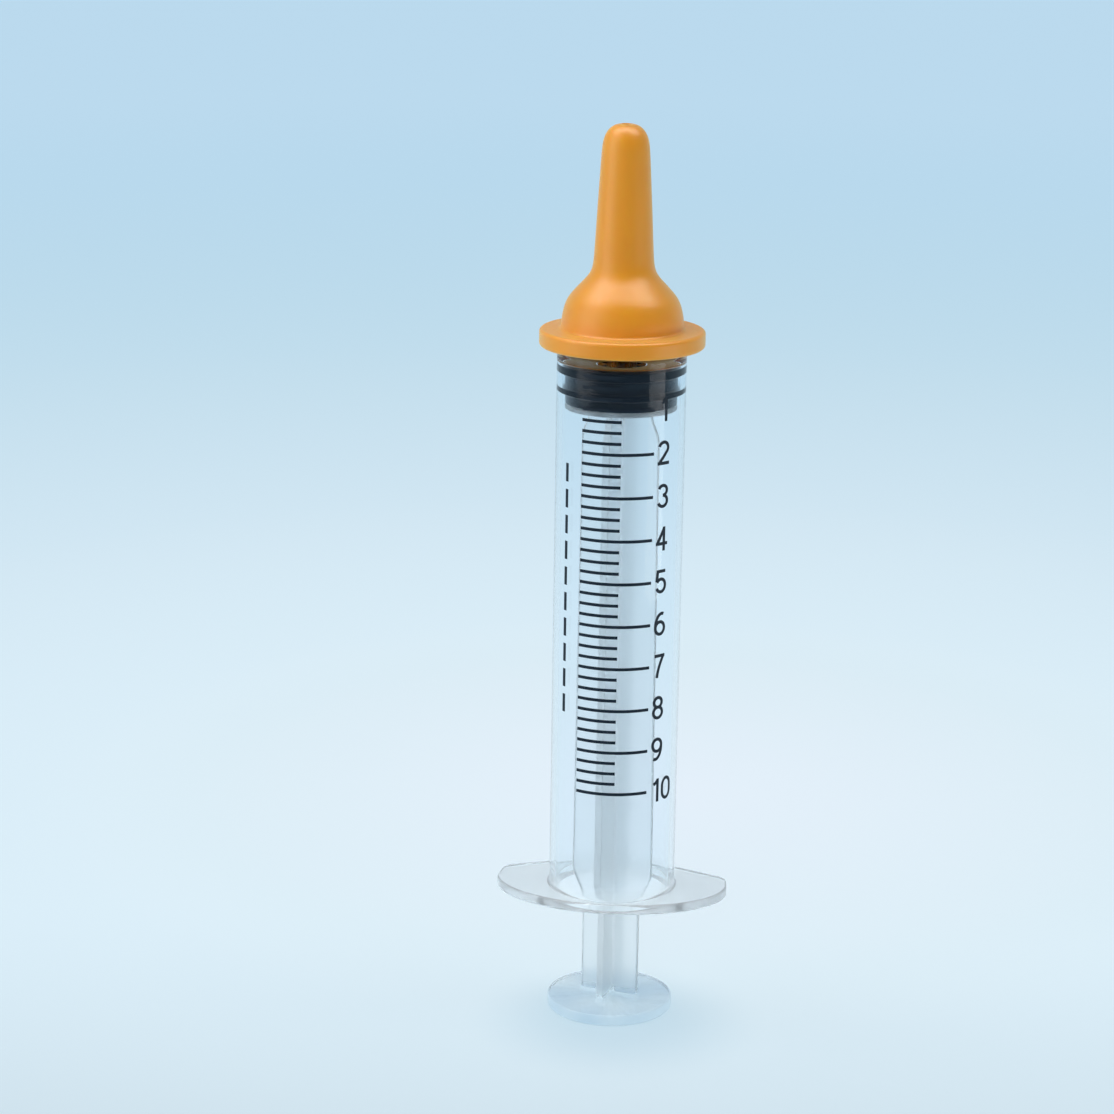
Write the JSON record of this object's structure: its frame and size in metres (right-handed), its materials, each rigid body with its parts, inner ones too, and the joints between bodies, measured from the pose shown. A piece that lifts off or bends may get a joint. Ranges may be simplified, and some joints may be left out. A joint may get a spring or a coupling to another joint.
{
  "type": "oral syringe",
  "caption": "Clear oral syringe with a sliding plunger, a rubber gasket, a finger flange, a printed volume scale and a pull-off rubber teat for giving liquid medicine by mouth.",
  "frame": {"origin": "on the syringe's axis, at the underside of the thumb disc, with the plunger home", "axes": "+Z along the axis towards the teat, X along the finger flange's wings, Y across them"},
  "size_m": [0.0306, 0.0212, 0.1179],
  "materials": {
    "clear_plastic": "clear, glossy, injection moulded",
    "frosted_plastic": "translucent, slightly milky, injection moulded",
    "black_rubber": "smooth satin, lightly oiled",
    "orange_rubber": "smooth satin",
    "dark_ink": "printed, thin, matt"
  },
  "bodies": {
    "barrel": {"barrel": "clear_plastic", "scale_short_marks": "dark_ink", "scale_long_marks": "dark_ink", "scale_numerals": "dark_ink", "side_dashes": "dark_ink"},
    "gasket": {"gasket": "black_rubber"},
    "plunger_rod": {"plunger_rod": "frosted_plastic"},
    "teat": {"teat": "orange_rubber"}
  },
  "joints": [
    {"name": "rod_spin", "type": "hinge", "parent": "plunger_rod", "child": "gasket", "pos_m": [0, 0, 0.0842], "axis": [0, 0, 1], "continuous": true},
    {"name": "plunger_slide", "type": "slide", "parent": "gasket", "child": "barrel", "axis": [0, 0, 1], "range_m": [0, 0.06]},
    {"name": "teat_pull", "type": "slide", "parent": "barrel", "child": "teat", "axis": [0, 0, 1], "range_m": [0, 0.012]}
  ]
}
